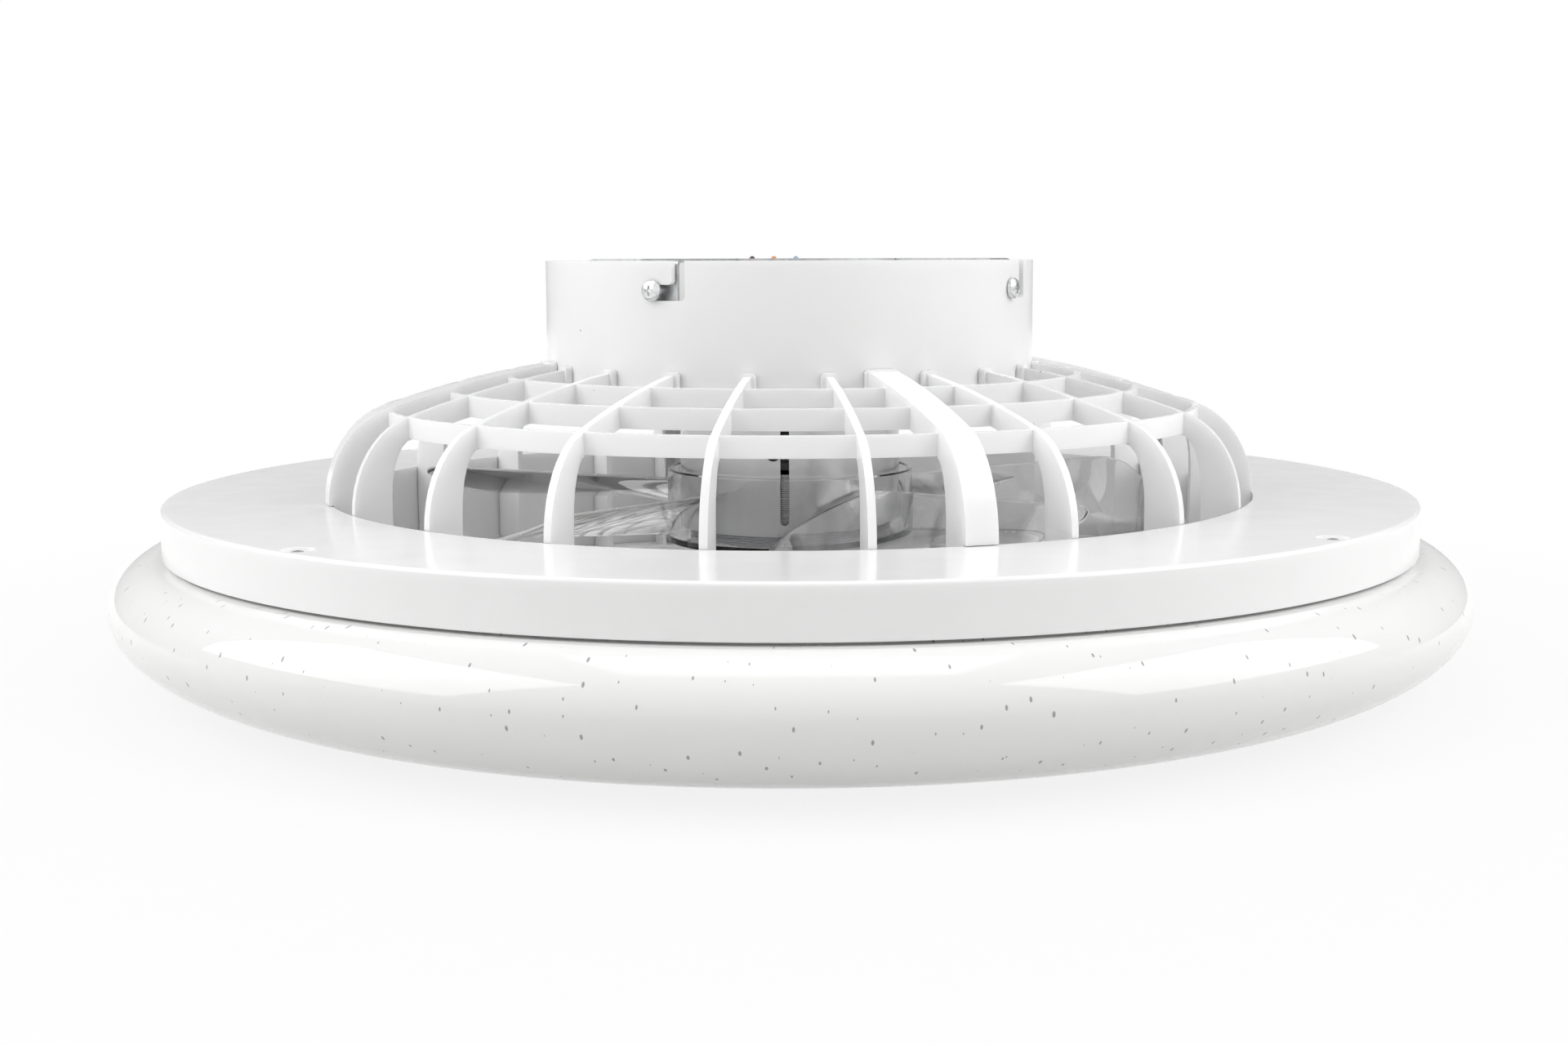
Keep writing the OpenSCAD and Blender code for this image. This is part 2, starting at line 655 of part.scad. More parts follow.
module lower_guard() color("white") difference() {
    union() {
        tube(foot_r, flange_r, z_guard, z_guard + guard_h);
        for (i = [1 : guard_ring_count]) {
            r = guard_hub_d / 2 + (flange_r - guard_hub_d / 2) * i / (guard_ring_count + 1);
            tube(r + guard_rib_t / 2, r - guard_rib_t / 2, z_guard, z_guard + guard_h);
        }
        for (i = [0 : guard_rib_count - 1])
            at(duct_rib_at + i * 360 / guard_rib_count, guard_hub_d / 2 - bite)
            translate([0, -guard_rib_t / 2, z_guard])
                cube([flange_r - guard_hub_d / 2 + 2 * bite, guard_rib_t, guard_h]);
        tube(guard_hub_d / 2, guard_hole_r, z_guard, z_guard + guard_h);
    }
    for (q = quarter) at(guard_screw_at + q, guard_screw_r) {
        hole(z_guard, guard_h, screw_d + 2 * pass_gap);
        translate([0, 0, z_guard - over]) cylinder(h = guard_sink + over, d = guard_head[0] + 2 * pass_gap);
    }
}

module guard_screws() color("silver") for (q = quarter) at(guard_screw_at + q, guard_screw_r)
    translate([0, 0, z_guard + guard_sink])
        screw(screw_d, guard_h - guard_sink + flange_t + foot_ring_h - guard_gap, guard_head);

module guard_cap() color("whitesmoke") difference() {
    rotate_extrude() polygon(concat(
        [[0, z_guard]], curve(0, z_guard, guard_hub_d / 2 - guard_cap_in, guard_cap_h, 0, -90, 10)));
    translate([0, 0, z_guard - guard_cap_hollow]) cylinder(h = guard_cap_hollow + over, d = guard_hub_d / 2);
}

// ---- Motor: the pieces that stand still ----

isolator_h = 3;
isolator_d = 14;
motor_ear_t = 3;
motor_ear_r = motor_screw_r + isolator_d / 2;
z_ear = z_motor_plate - isolator_h;
z_can = z_plate - can_drop;
z_motor_floor = z_plate + motor_floor_rise;
z_rotor_top = z_motor_floor - spin_gap;
z_rotor = z_rotor_top - rotor_h;
board_post_d = 6;
board_post_in = 9;
board_post_r = motor_d / 2 - motor_t - board_post_in;
board_post_h = 13;
lead_slot_at = -2.5;
lead_slot_w = 3.8;
lead_slot_foot = 4.9;   // from the can's lower edge up to the slot
lead_slot_head = 6;     // from the can's ears down to the slot
grommet_at = -8.1;
grommet_rise = 7.2;
grommet_d = 6;
grommet_lip = 1;
grommet_lip_t = 1.6;
grommet_proud = 0.2;    // from the can to the grommet's lip
grommet_in = 0.8;       // that the grommet stands in past the can's wall

module isolators() color("dimgray") for (q = quarter) at(q, motor_screw_r)
    tube(isolator_d / 2, screw_d / 2 + pass_gap, z_ear, z_motor_plate);

module motor_screws() color("silver") for (q = quarter) at(q, motor_screw_r)
    translate([0, 0, z_motor_plate + motor_plate_t]) mirror([0, 0, 1])
        screw(screw_d, motor_plate_t + isolator_h + motor_ear_t, screw_head);

// What cuts the tall slot, round at both ends, that lets the leads and air into the can
module lead_slot() {
    half = lead_slot_w / 2;
    low = z_can + lead_slot_foot + half;
    high = z_ear - motor_ear_t - lead_slot_head - half;
    at(lead_slot_at, motor_d / 2 - motor_t - over) rotate([90, 0, 90]) linear_extrude(motor_t + 2 * over)
        polygon(concat(curve(0, high, half, half, 0, 180, 10), curve(0, low, half, half, 180, 360, 10)));
}

// The can: its floor carries the shaft, and its wall reaches on down over the rotor
module motor_housing() color("lightgray") difference() {
    union() {
        tube(motor_d / 2, motor_d / 2 - motor_t, z_can, z_ear);
        tube(motor_ear_r, motor_d / 2 - motor_t, z_ear - motor_ear_t, z_ear);
        tube(motor_d / 2 - skin, shaft_d / 2 + pass_gap, z_motor_floor, z_motor_floor + motor_ear_t);
        for (q = quarter) at(q + 45, board_post_r) translate([0, 0, z_motor_floor])
            cylinder(h = board_post_h, d = board_post_d);
    }
    for (q = quarter) at(q, motor_screw_r) hole(z_ear - motor_ear_t, motor_ear_t, screw_d + 2 * thread_gap);
    at(grommet_at, motor_d / 2 - motor_t - over) translate([0, 0, z_motor_floor + grommet_rise])
        rotate([0, 90, 0]) hole(0, motor_t + 2 * over, grommet_d - 2 * grommet_lip);
    lead_slot();
}

module lead_grommet() color("black") at(grommet_at, motor_d / 2 - motor_t - grommet_in)
    translate([0, 0, z_motor_floor + grommet_rise]) rotate([0, 90, 0]) difference() {
        neck = grommet_in + motor_t + grommet_proud;
        union() {
            cylinder(h = neck, d = grommet_d - 2 * grommet_lip);
            translate([0, 0, neck]) cylinder(h = grommet_lip_t, d = grommet_d);
        }
        hole(0, neck + grommet_lip_t, lead_d, $fn = 32);
    }

motor_board_t = 1.6;
motor_board_in = 2;     // between the board and the can's wall
part_count = 3;
capacitor = [9, 5];
capacitor_r = 30;
power_chip = [10, 8, 1.6];
power_chip_r = 28;

module motor_board() color("seagreen") translate([0, 0, z_motor_floor + board_post_h]) {
    tube(motor_d / 2 - motor_t - motor_board_in, motor_plate_hole_r, 0, motor_board_t);
    for (i = [0 : part_count - 1]) rotate((i + 0.25) * 360 / part_count) {
        at(0, capacitor_r) translate([0, 0, motor_board_t - skin])
            cylinder(h = capacitor[1] + skin, d = capacitor[0]);
        at(180 / part_count, power_chip_r) translate([0, 0, motor_board_t + power_chip[2] / 2 - skin])
            cube(power_chip, center = true);
    }
}

rotor_floor_t = 2;
rotor_hole_r = shaft_d / 2 + 2;
collar_t = 1.4;
collar_reach = 1;
clip_t = 0.8;
clip_inset = 0.4;
clip_end = 2;
boss_wall = 2;
bush_gap = 0.8;
shaft_nut_af = 13;
shaft_nut_h = 5;
z_low_bearing = z_rotor + rotor_floor_t;
z_top_bearing = z_rotor_top - rotor_floor_t - bearing_w;
z_clip = z_low_bearing - clip_gap - clip_t;
z_bush = z_low_bearing + bearing_w + bush_gap;
bush_h = z_top_bearing - bush_gap - z_bush;
bush_seat_t = 1;
bush_seat_r = shaft_d / 2 + bush_seat_t;
core_gap = 1;           // between the stator's bore and the bearings' bosses
bore_r = bearing_d / 2 + boss_wall + core_gap;
z_shaft = z_clip - clip_end;
z_nut = z_motor_floor + motor_ear_t;

module shaft() color("silver") {
    translate([0, 0, z_shaft]) cylinder(h = z_nut + shaft_nut_h + screw_end - z_shaft, d = shaft_d);
    translate([0, 0, z_bush]) cylinder(h = bush_h, r = bush_seat_r);
    translate([0, 0, z_motor_floor - collar_t]) cylinder(h = collar_t, r = rotor_hole_r + collar_reach);
}

module shaft_nut() color("gainsboro") translate([0, 0, z_nut]) nut(shaft_nut_af, shaft_nut_h, shaft_d);

module shaft_clip() color("dimgray") tube(rotor_hole_r - clip_inset, shaft_d / 2, z_clip, z_clip + clip_t);

module stator_bush() color("gray") tube(bore_r, bush_seat_r, z_bush, z_bush + bush_h);

magnet_h = 17;
magnet_gap = 2;         // between two magnets, in degrees
pole_count = 14;
stator_h = 13;
tooth_count = 12;
tooth_w = 6;
shoe_t = 2.5;
coil_over = 2.6;
coil_side = 1.5;
coil_gap = 0.5;
yoke_t = 4;
stator_r = rotor_d / 2 - rotor_t - magnet_t - air_gap;
z_stator = z_bush + bush_h / 2 - stator_h / 2;
yoke_r = bore_r + yoke_t;

module stator_core() color("dimgray") translate([0, 0, z_stator]) linear_extrude(stator_h) {
    difference() {
        circle(yoke_r);
        circle(bore_r);
    }
    for (i = [0 : tooth_count - 1]) rotate(i * 360 / tooth_count) {
        translate([yoke_r - bite, -tooth_w / 2]) square([stator_r - shoe_t - yoke_r + 2 * bite, tooth_w]);
        intersection() {
            difference() {
                circle(stator_r);
                circle(stator_r - shoe_t);
            }
            translate([0, -tooth_w]) square([stator_r + over, 2 * tooth_w]);
        }
    }
}

module stator_coils() color("peru") for (i = [0 : tooth_count - 1]) rotate(i * 360 / tooth_count)
    difference() {
        translate([yoke_r + coil_gap, -tooth_w / 2 - coil_side, z_stator - coil_over])
            cube([stator_r - shoe_t - yoke_r - 2 * coil_gap, tooth_w + 2 * coil_side,
                stator_h + 2 * coil_over]);
        translate([yoke_r, -tooth_w / 2, z_stator])
            cube([stator_r - yoke_r, tooth_w, stator_h]);
    }

// ---- Rotor and impeller: the pieces that spin ----

hub_floor_t = 2.5;
hub_hole_r = 9;
hub_screw_r = 30;
hub_screw_count = 4;
z_hub = z_rotor - hub_floor_t;
cap_d = 82;
cap_h = 8;
cap_t = 1.6;

module bearing_boss(z0, z1) tube(bearing_d / 2 + boss_wall, bearing_d / 2, z0, z1);

module rotor_shell() color("silver") difference() {
    union() {
        tube(rotor_d / 2, rotor_d / 2 - rotor_t, z_rotor, z_rotor_top - rotor_floor_t);
        tube(rotor_d / 2 - skin, rotor_hole_r, z_rotor, z_rotor + rotor_floor_t);
        bearing_boss(z_rotor + rotor_floor_t - skin, z_low_bearing + bearing_w);
    }
    hub_screw_holes(z_rotor, rotor_floor_t, screw_d + 2 * thread_gap);
}

module hub_screw_holes(z, t, d) for (i = [0 : hub_screw_count - 1])
    at(i * 360 / hub_screw_count, hub_screw_r) hole(z, t, d);

module rotor_cover() color("silver") {
    tube(rotor_d / 2, rotor_hole_r, z_rotor_top - rotor_floor_t, z_rotor_top);
    bearing_boss(z_top_bearing, z_rotor_top - rotor_floor_t + skin);
}

module rotor_magnets() color("darkslategray") for (i = [0 : pole_count - 1])
    translate([0, 0, z_bush + bush_h / 2 - magnet_h / 2]) rotate(i * 360 / pole_count)
        rotate_extrude(angle = 360 / pole_count - magnet_gap) translate([rotor_d / 2 - rotor_t - magnet_t, 0])
            square([magnet_t, magnet_h]);

module bearing(z) tube(bearing_d / 2, shaft_d / 2 + run_gap, z, z + bearing_w);
module upper_bearing() color("gainsboro") bearing(z_top_bearing);
module lower_bearing() color("gainsboro") bearing(z_low_bearing);

// A blade is a cambered sheet: it falls steeply from its rear edge and flattens towards its front edge.
// It thins towards both edges, and its stations crowd together towards the round corners of its tip.
root_r = hub_d / 2 - hub_t / 2;
tip_r = impeller_d / 2;
stations = 9;
chords = 10;
crowding = 1.6;
root_camber = -1.5;
tip_camber = 2.6;
edge_share = 0.45;

function out_of(i) = 1 - pow(1 - i / stations, crowding);
function blade_r(i) = root_r + (tip_r - root_r) * out_of(i);
function corner_in(r) = r < tip_r - tip_corner ? 0
    : tip_corner - sqrt(max(0, pow(tip_corner, 2) - pow(r - tip_r + tip_corner, 2)));
function fall_at(s, bend) = abs(bend) < 0.001 ? s : (1 - exp(-bend * s)) / (1 - exp(-bend));
function blade_point(i, j, side) =
    let (k = out_of(i), r = blade_r(i), s0 = j / chords,
         span = mix(root_span, tip_span, k),
         edge = corner_in(r) / r * 180 / PI / span,
         s = edge + s0 * (1 - 2 * edge),
         bearing = -span * s,
         bend = mix(root_camber, tip_camber, k),
         z = mix(root_rise, tip_rise, k) - mix(root_fall, tip_fall, k) * fall_at(s, bend),
         half = blade_t / 2 * mix(edge_share, 1, sin(180 * s0)))
    [r * sin(bearing), -r * cos(bearing), z_plate + z + side * half];
function blade_points() = [
    for (side = [1, -1], i = [0 : stations], j = [0 : chords]) blade_point(i, j, side)
];
function at_grid(side, i, j) = (side * (stations + 1) + i) * (chords + 1) + j;
function blade_faces() = concat(
    [for (i = [0 : stations - 1], j = [0 : chords - 1], half = [0, 1])
        half == 0 ? [at_grid(0, i, j), at_grid(0, i + 1, j), at_grid(0, i + 1, j + 1)]
                  : [at_grid(0, i, j), at_grid(0, i + 1, j + 1), at_grid(0, i, j + 1)]],
    [for (i = [0 : stations - 1], j = [0 : chords - 1], half = [0, 1])
        half == 0 ? [at_grid(1, i, j), at_grid(1, i + 1, j + 1), at_grid(1, i + 1, j)]
                  : [at_grid(1, i, j), at_grid(1, i, j + 1), at_grid(1, i + 1, j + 1)]],
    [for (i = [0 : stations - 1])
        [at_grid(0, i, 0), at_grid(1, i, 0), at_grid(1, i + 1, 0), at_grid(0, i + 1, 0)]],
    [for (i = [0 : stations - 1])
        [at_grid(0, i, chords), at_grid(0, i + 1, chords), at_grid(1, i + 1, chords), at_grid(1, i, chords)]],
    [for (j = [0 : chords - 1])
        [at_grid(0, 0, j), at_grid(0, 0, j + 1), at_grid(1, 0, j + 1), at_grid(1, 0, j)]],
    [for (j = [0 : chords - 1])
        [at_grid(0, stations, j), at_grid(1, stations, j),
         at_grid(1, stations, j + 1), at_grid(0, stations, j + 1)]]);

module blade() polyhedron(points = blade_points(), faces = blade_faces(), convexity = 4);

module impeller() color("azure", 0.5) difference() {
    union() {
        tube(hub_d / 2, hub_d / 2 - hub_t, z_hub, z_hub + hub_h);
        tube(hub_d / 2 - skin, hub_hole_r, z_hub, z_hub + hub_floor_t);
        for (i = [0 : blade_count - 1]) rotate(blade_at + i * 360 / blade_count) blade();
    }
    hub_screw_holes(z_hub, hub_floor_t, screw_d + 2 * pass_gap);
}

module impeller_screws() color("silver") for (i = [0 : hub_screw_count - 1])
    at(i * 360 / hub_screw_count, hub_screw_r) translate([0, 0, z_hub])
        screw(screw_d, hub_floor_t + rotor_floor_t + screw_end, screw_head);

module impeller_cap() color("azure", 0.6) rotate_extrude() polygon(concat(
    [[cap_d / 2, z_hub]], curve(0, z_hub, cap_d / 2, cap_h, 0, -90, 12),
    [[0, z_hub - cap_h + cap_t]],
    curve(0, z_hub, cap_d / 2 - cap_t, cap_h - cap_t, -90, 0, 12)));

ceiling_bracket();
bracket_nuts();
locking_screws();
terminal_block();
live_lead();
neutral_lead();
earth_lead();
canopy();
canopy_screws();
motor_plate();
led_driver();
fan_controller();
box_screws();
upper_cage();
ring_housing();
led_tray();
led_board();
led_chips();
tray_screws();
diffuser();
diffuser_screws();
lower_guard();
guard_screws();
guard_cap();
isolators();
motor_screws();
motor_housing();
lead_grommet();
motor_board();
shaft();
shaft_nut();
shaft_clip();
stator_bush();
stator_core();
stator_coils();
rotor_shell();
rotor_cover();
rotor_magnets();
upper_bearing();
lower_bearing();
impeller();
impeller_screws();
impeller_cap();
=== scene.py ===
# A low ceiling fan with a ring light, standing on its diffuser before it is hung.
# Bearings round the axis are in degrees, from the front (-Y) towards the right (+X).
import math
import bpy
from mathutils import Matrix, Vector


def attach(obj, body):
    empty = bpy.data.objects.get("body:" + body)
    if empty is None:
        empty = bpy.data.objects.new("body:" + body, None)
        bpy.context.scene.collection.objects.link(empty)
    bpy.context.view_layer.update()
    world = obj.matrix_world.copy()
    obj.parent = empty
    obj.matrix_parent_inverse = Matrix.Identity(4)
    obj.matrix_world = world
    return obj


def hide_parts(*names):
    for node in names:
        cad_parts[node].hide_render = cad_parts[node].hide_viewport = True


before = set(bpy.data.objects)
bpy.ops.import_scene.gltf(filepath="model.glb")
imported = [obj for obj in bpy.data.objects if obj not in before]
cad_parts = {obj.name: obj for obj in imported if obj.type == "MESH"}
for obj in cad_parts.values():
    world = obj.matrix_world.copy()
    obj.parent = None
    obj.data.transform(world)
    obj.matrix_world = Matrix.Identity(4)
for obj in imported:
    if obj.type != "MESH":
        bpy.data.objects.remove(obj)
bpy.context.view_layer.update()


# ---- Camera ----
# The photograph's own view: 92 cm from the axis, level with the canopy's top edge, and looking
# down a little. The swing and the roll are the shot's small errors, in radians.
distance, height = 0.9153, 0.1795
tilt = math.radians(90 - 7.54)
swing, roll = 0.00298, -0.0029
camera = bpy.data.cameras.new("camera")
camera.lens = 45.98
camera.sensor_width = 36
camera.clip_start = 0.05
eye = bpy.data.objects.new("camera", camera)
eye.matrix_world = (Matrix.Translation((0, -distance, height)) @ Matrix.Rotation(swing, 4, "Z")
                    @ Matrix.Rotation(tilt, 4, "X") @ Matrix.Rotation(roll, 4, "Z"))
bpy.context.scene.collection.objects.link(eye)
bpy.context.scene.camera = eye
bpy.context.scene.view_settings.view_transform = "Standard"


# ---- Floor, background and lamps ----
# A grey floor, seen as white, keeps the shadow and throws less light up. Two wide soft boxes stand
# square to the sides, so that gloss shows them there and the front stays greyer; a panel hangs
# above. The world is seen white, but gloss finds it greyer at the back, as in a room.
def linear(colour):
    """An sRGB hex colour, such as #F2F2F0, as the linear values that Blender takes."""
    parts = [int(colour[i:i + 2], 16) / 255 for i in (1, 3, 5)]
    return [c / 12.92 if c <= 0.04045 else ((c + 0.055) / 1.055) ** 2.4 for c in parts] + [1.0]


def add(tree, kind, settings=None, links=None):
    """Adds a node: settings are its properties or inputs, links join outputs to its inputs."""
    new = tree.nodes.new("ShaderNode" + kind)
    for name, value in (settings or {}).items():
        if isinstance(name, str) and hasattr(new, name):
            setattr(new, name, value)
        else:
            new.inputs[name].default_value = value
    for name, output in (links or {}).items():
        tree.links.new(output, new.inputs[name])
    return new


def material(name, **sockets):
    """A new material, its tree and its shader. Constants go on the shader's own sockets."""
    new = bpy.data.materials.new(name)
    new.use_nodes = True
    shader = new.node_tree.nodes["Principled BSDF"]
    for socket, value in sockets.items():
        value = linear(value) if isinstance(value, str) else value
        shader.inputs[socket.replace("_", " ")].default_value = value
    return new, new.node_tree, shader


def seen_directly(tree):
    """1 for what the camera, metal and glass see, and 0 for light that falls on matt surfaces."""
    path = add(tree, "LightPath")
    seen = add(tree, "Math", {"operation": "MAXIMUM"},
               {0: path.outputs["Is Camera Ray"], 1: path.outputs["Is Glossy Ray"]})
    return add(tree, "Math", {"operation": "MAXIMUM"},
               {0: seen.outputs[0], 1: path.outputs["Is Transmission Ray"]}).outputs[0]


paint, tree, shader = material("matt_grey_floor", Roughness=0.9)
place = add(tree, "TexCoord").outputs["Object"]
mottle_mm = 50 / 3
grain = add(tree, "TexNoise", {"Scale": 1000 / mottle_mm, "Detail": 4.0}, {"Vector": place})
tone = add(tree, "ValToRGB", None, {0: grain.outputs["Fac"]})
tone.color_ramp.elements[0].color = linear("#D2D2D1")
tone.color_ramp.elements[1].color = linear("#DADAD9")
tree.links.new(tone.outputs["Color"], shader.inputs["Base Color"])
shadow_r, clear_r = 0.28, 0.6
white_share = 0.86  # the floor under the lamp is seen white by this share, and keeps its shadow
reach = add(tree, "VectorMath", {"operation": "LENGTH"}, {0: place})
share = add(tree, "MapRange",
            {"From Min": shadow_r, "From Max": clear_r, "To Min": white_share, "To Max": 1.0},
            {"Value": reach.outputs["Value"]})
white = add(tree, "Emission", {"Color": (1, 1, 1, 1), "Strength": 1.0})
fade = add(tree, "Math", {"operation": "MULTIPLY"}, {0: seen_directly(tree), 1: share.outputs[0]})
both = add(tree, "MixShader", None,
           {0: fade.outputs[0], 1: shader.outputs[0], 2: white.outputs[0]})
tree.links.new(both.outputs[0], tree.nodes["Material Output"].inputs["Surface"])
floor_gap = 0.0005
bpy.ops.mesh.primitive_circle_add(vertices=96, radius=4, fill_type="NGON",
                                  location=(0, 0, -floor_gap))
floor = bpy.context.object
floor.name = "floor"
floor.data.materials.append(paint)

world = bpy.data.worlds.new("studio")
bpy.context.scene.world = world
world.use_nodes = True
tree = world.node_tree
tree.nodes.clear()
room_light, far_wall = 0.5, 0.5  # what lights matt surfaces, and what gloss sees at the back
front_y, back_y = -0.3, 0.6  # the directions between which the far wall comes in
dim = add(tree, "Background", {"Color": (1, 1, 1, 1), "Strength": room_light})
toward = add(tree, "SeparateXYZ", None, {0: add(tree, "TexCoord").outputs["Generated"]})
shade = add(tree, "MapRange",
            {"From Min": front_y, "From Max": back_y, "To Min": 1.0, "To Max": far_wall},
            {"Value": toward.outputs["Y"]})
mirrored = add(tree, "Mix", {2: 1.0},
               {0: add(tree, "LightPath").outputs["Is Glossy Ray"], 3: shade.outputs[0]})
bright = add(tree, "Background", {"Color": (1, 1, 1, 1)}, {"Strength": mirrored.outputs[0]})
both = add(tree, "MixShader", None,
           {0: seen_directly(tree), 1: dim.outputs[0], 2: bright.outputs[0]})
add(tree, "OutputWorld", None, {"Surface": both.outputs[0]})


def soft_box(name, width, depth, place, aim, power):
    """A rectangular lamp at a place, turned to aim at a point; sizes in metres, power in watts."""
    lamp = bpy.data.lights.new(name, "AREA")
    lamp.shape = "RECTANGLE"
    lamp.size = width
    lamp.size_y = depth
    lamp.energy = power
    box = bpy.data.objects.new(name, lamp)
    facing = (Vector(aim) - Vector(place)).to_track_quat("-Z", "Y").to_matrix().to_4x4()
    box.matrix_world = Matrix.Translation(place) @ facing
    bpy.context.scene.collection.objects.link(box)


for name, side in (("left_soft_box", -1), ("right_soft_box", 1)):
    soft_box(name, width=1.6, depth=1.2, place=(side * 1.35, -0.38, 0.98), aim=(0, 0, 0.14),
             power=15.6)
soft_box("top_panel", width=1.2, depth=1.2, place=(0, 0, 1.8), aim=(0, 0, 0), power=7)


# ---- Ceiling bracket ----
# Pressed steel sheet, 1.5 mm, with four arms bent down into tabs; each tab takes an M4 screw and
# nut. Its zinc coat sets in pale crystals a few millimetres wide, with a brushed grey sheen.
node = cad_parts


def dress(finish, *names):
    """Gives CAD nodes a finish."""
    for name in names:
        for slot in node[name].material_slots:
            slot.material = finish


def break_edges(name, width):
    """Rounds a CAD node's sharp edges, as a press or mould leaves them."""
    piece = node[name]
    weld = piece.modifiers.new("weld", "WELD")
    weld.merge_threshold = 1e-5
    planar = piece.modifiers.new("planar", "DECIMATE")
    planar.decimate_type = "DISSOLVE"
    planar.angle_limit = math.radians(0.5)
    bevel = piece.modifiers.new("edges", "BEVEL")
    bevel.width = width
    bevel.segments = 2
    bevel.limit_method = "ANGLE"
    bevel.angle_limit = math.radians(35)
    bevel.harden_normals = False
    normals = piece.modifiers.new("normals", "WEIGHTED_NORMAL")
    normals.keep_sharp = False


def plated_steel(name, dark, light, crystal_mm, roughness):
    """Plated steel: metal with pale crystals and a fine uneven roughness."""
    haze_mm, grain_mm = 6, 0.6
    finish, tree, shader = material(name, Metallic=1.0)
    place = add(tree, "TexCoord").outputs["Object"]
    crystals = add(tree, "TexVoronoi", {"Scale": 1000 / crystal_mm}, {"Vector": place})
    tone = add(tree, "ValToRGB", None, {0: crystals.outputs["Color"]})
    tone.color_ramp.elements[0].color = linear(dark)
    tone.color_ramp.elements[1].color = linear(light)
    tree.links.new(tone.outputs["Color"], shader.inputs["Base Color"])
    haze = add(tree, "TexNoise", {"Scale": 1000 / haze_mm, "Detail": 5.0}, {"Vector": place})
    rough = add(tree, "MapRange", {"To Min": roughness - 0.07, "To Max": roughness + 0.09},
                {"Value": haze.outputs["Fac"]})
    tree.links.new(rough.outputs[0], shader.inputs["Roughness"])
    grain = add(tree, "TexNoise", {"Scale": 1000 / grain_mm, "Detail": 2.0}, {"Vector": place})
    bump = add(tree, "Bump", {"Strength": 0.15, "Distance": 0.0001},
               {"Height": grain.outputs["Fac"]})
    tree.links.new(bump.outputs[0], shader.inputs["Normal"])
    return finish


zinc_steel = plated_steel("zinc_plated_steel", "#B9BBBD", "#D0D1D2",
                          crystal_mm=2.5, roughness=0.38)
bright_zinc = plated_steel("white_zinc_screw", "#C9CBCC", "#EDEDED",
                           crystal_mm=1.2, roughness=0.24)
dress(zinc_steel, "ceiling_bracket", "bracket_nuts")
dress(bright_zinc, "locking_screws")
break_edges("ceiling_bracket", width=0.00025)


# ---- Terminal block and mains leads ----
# A white nylon block; three PVC covered leads come out of its front and bend back over the cable
# opening. Their dull brown, orange and blue are what the photograph shows of them.
def moulded(name, colour, roughness, grain_mm, depth=0.1):
    """Moulded or extruded plastic with a fine surface grain."""
    haze_mm = 12
    finish, tree, shader = material(name, Base_Color=colour, IOR=1.5)
    place = add(tree, "TexCoord").outputs["Object"]
    haze = add(tree, "TexNoise", {"Scale": 1000 / haze_mm, "Detail": 4.0}, {"Vector": place})
    rough = add(tree, "MapRange", {"To Min": roughness - 0.05, "To Max": roughness + 0.05},
                {"Value": haze.outputs["Fac"]})
    tree.links.new(rough.outputs[0], shader.inputs["Roughness"])
    grain = add(tree, "TexNoise", {"Scale": 1000 / grain_mm, "Detail": 3.0}, {"Vector": place})
    bump = add(tree, "Bump", {"Strength": depth, "Distance": 0.0002},
               {"Height": grain.outputs["Fac"]})
    tree.links.new(bump.outputs[0], shader.inputs["Normal"])
    return finish


nylon = moulded("moulded_nylon", "#E2E1DC", roughness=0.5, grain_mm=0.8)
dress(nylon, "terminal_block")
dress(moulded("brown_pvc", "#4A2C1A", roughness=0.42, grain_mm=0.7), "live_lead")
dress(moulded("blue_pvc", "#8FA9C0", roughness=0.42, grain_mm=0.7), "neutral_lead")
dress(moulded("orange_pvc", "#D98A55", roughness=0.42, grain_mm=0.7), "earth_lead")


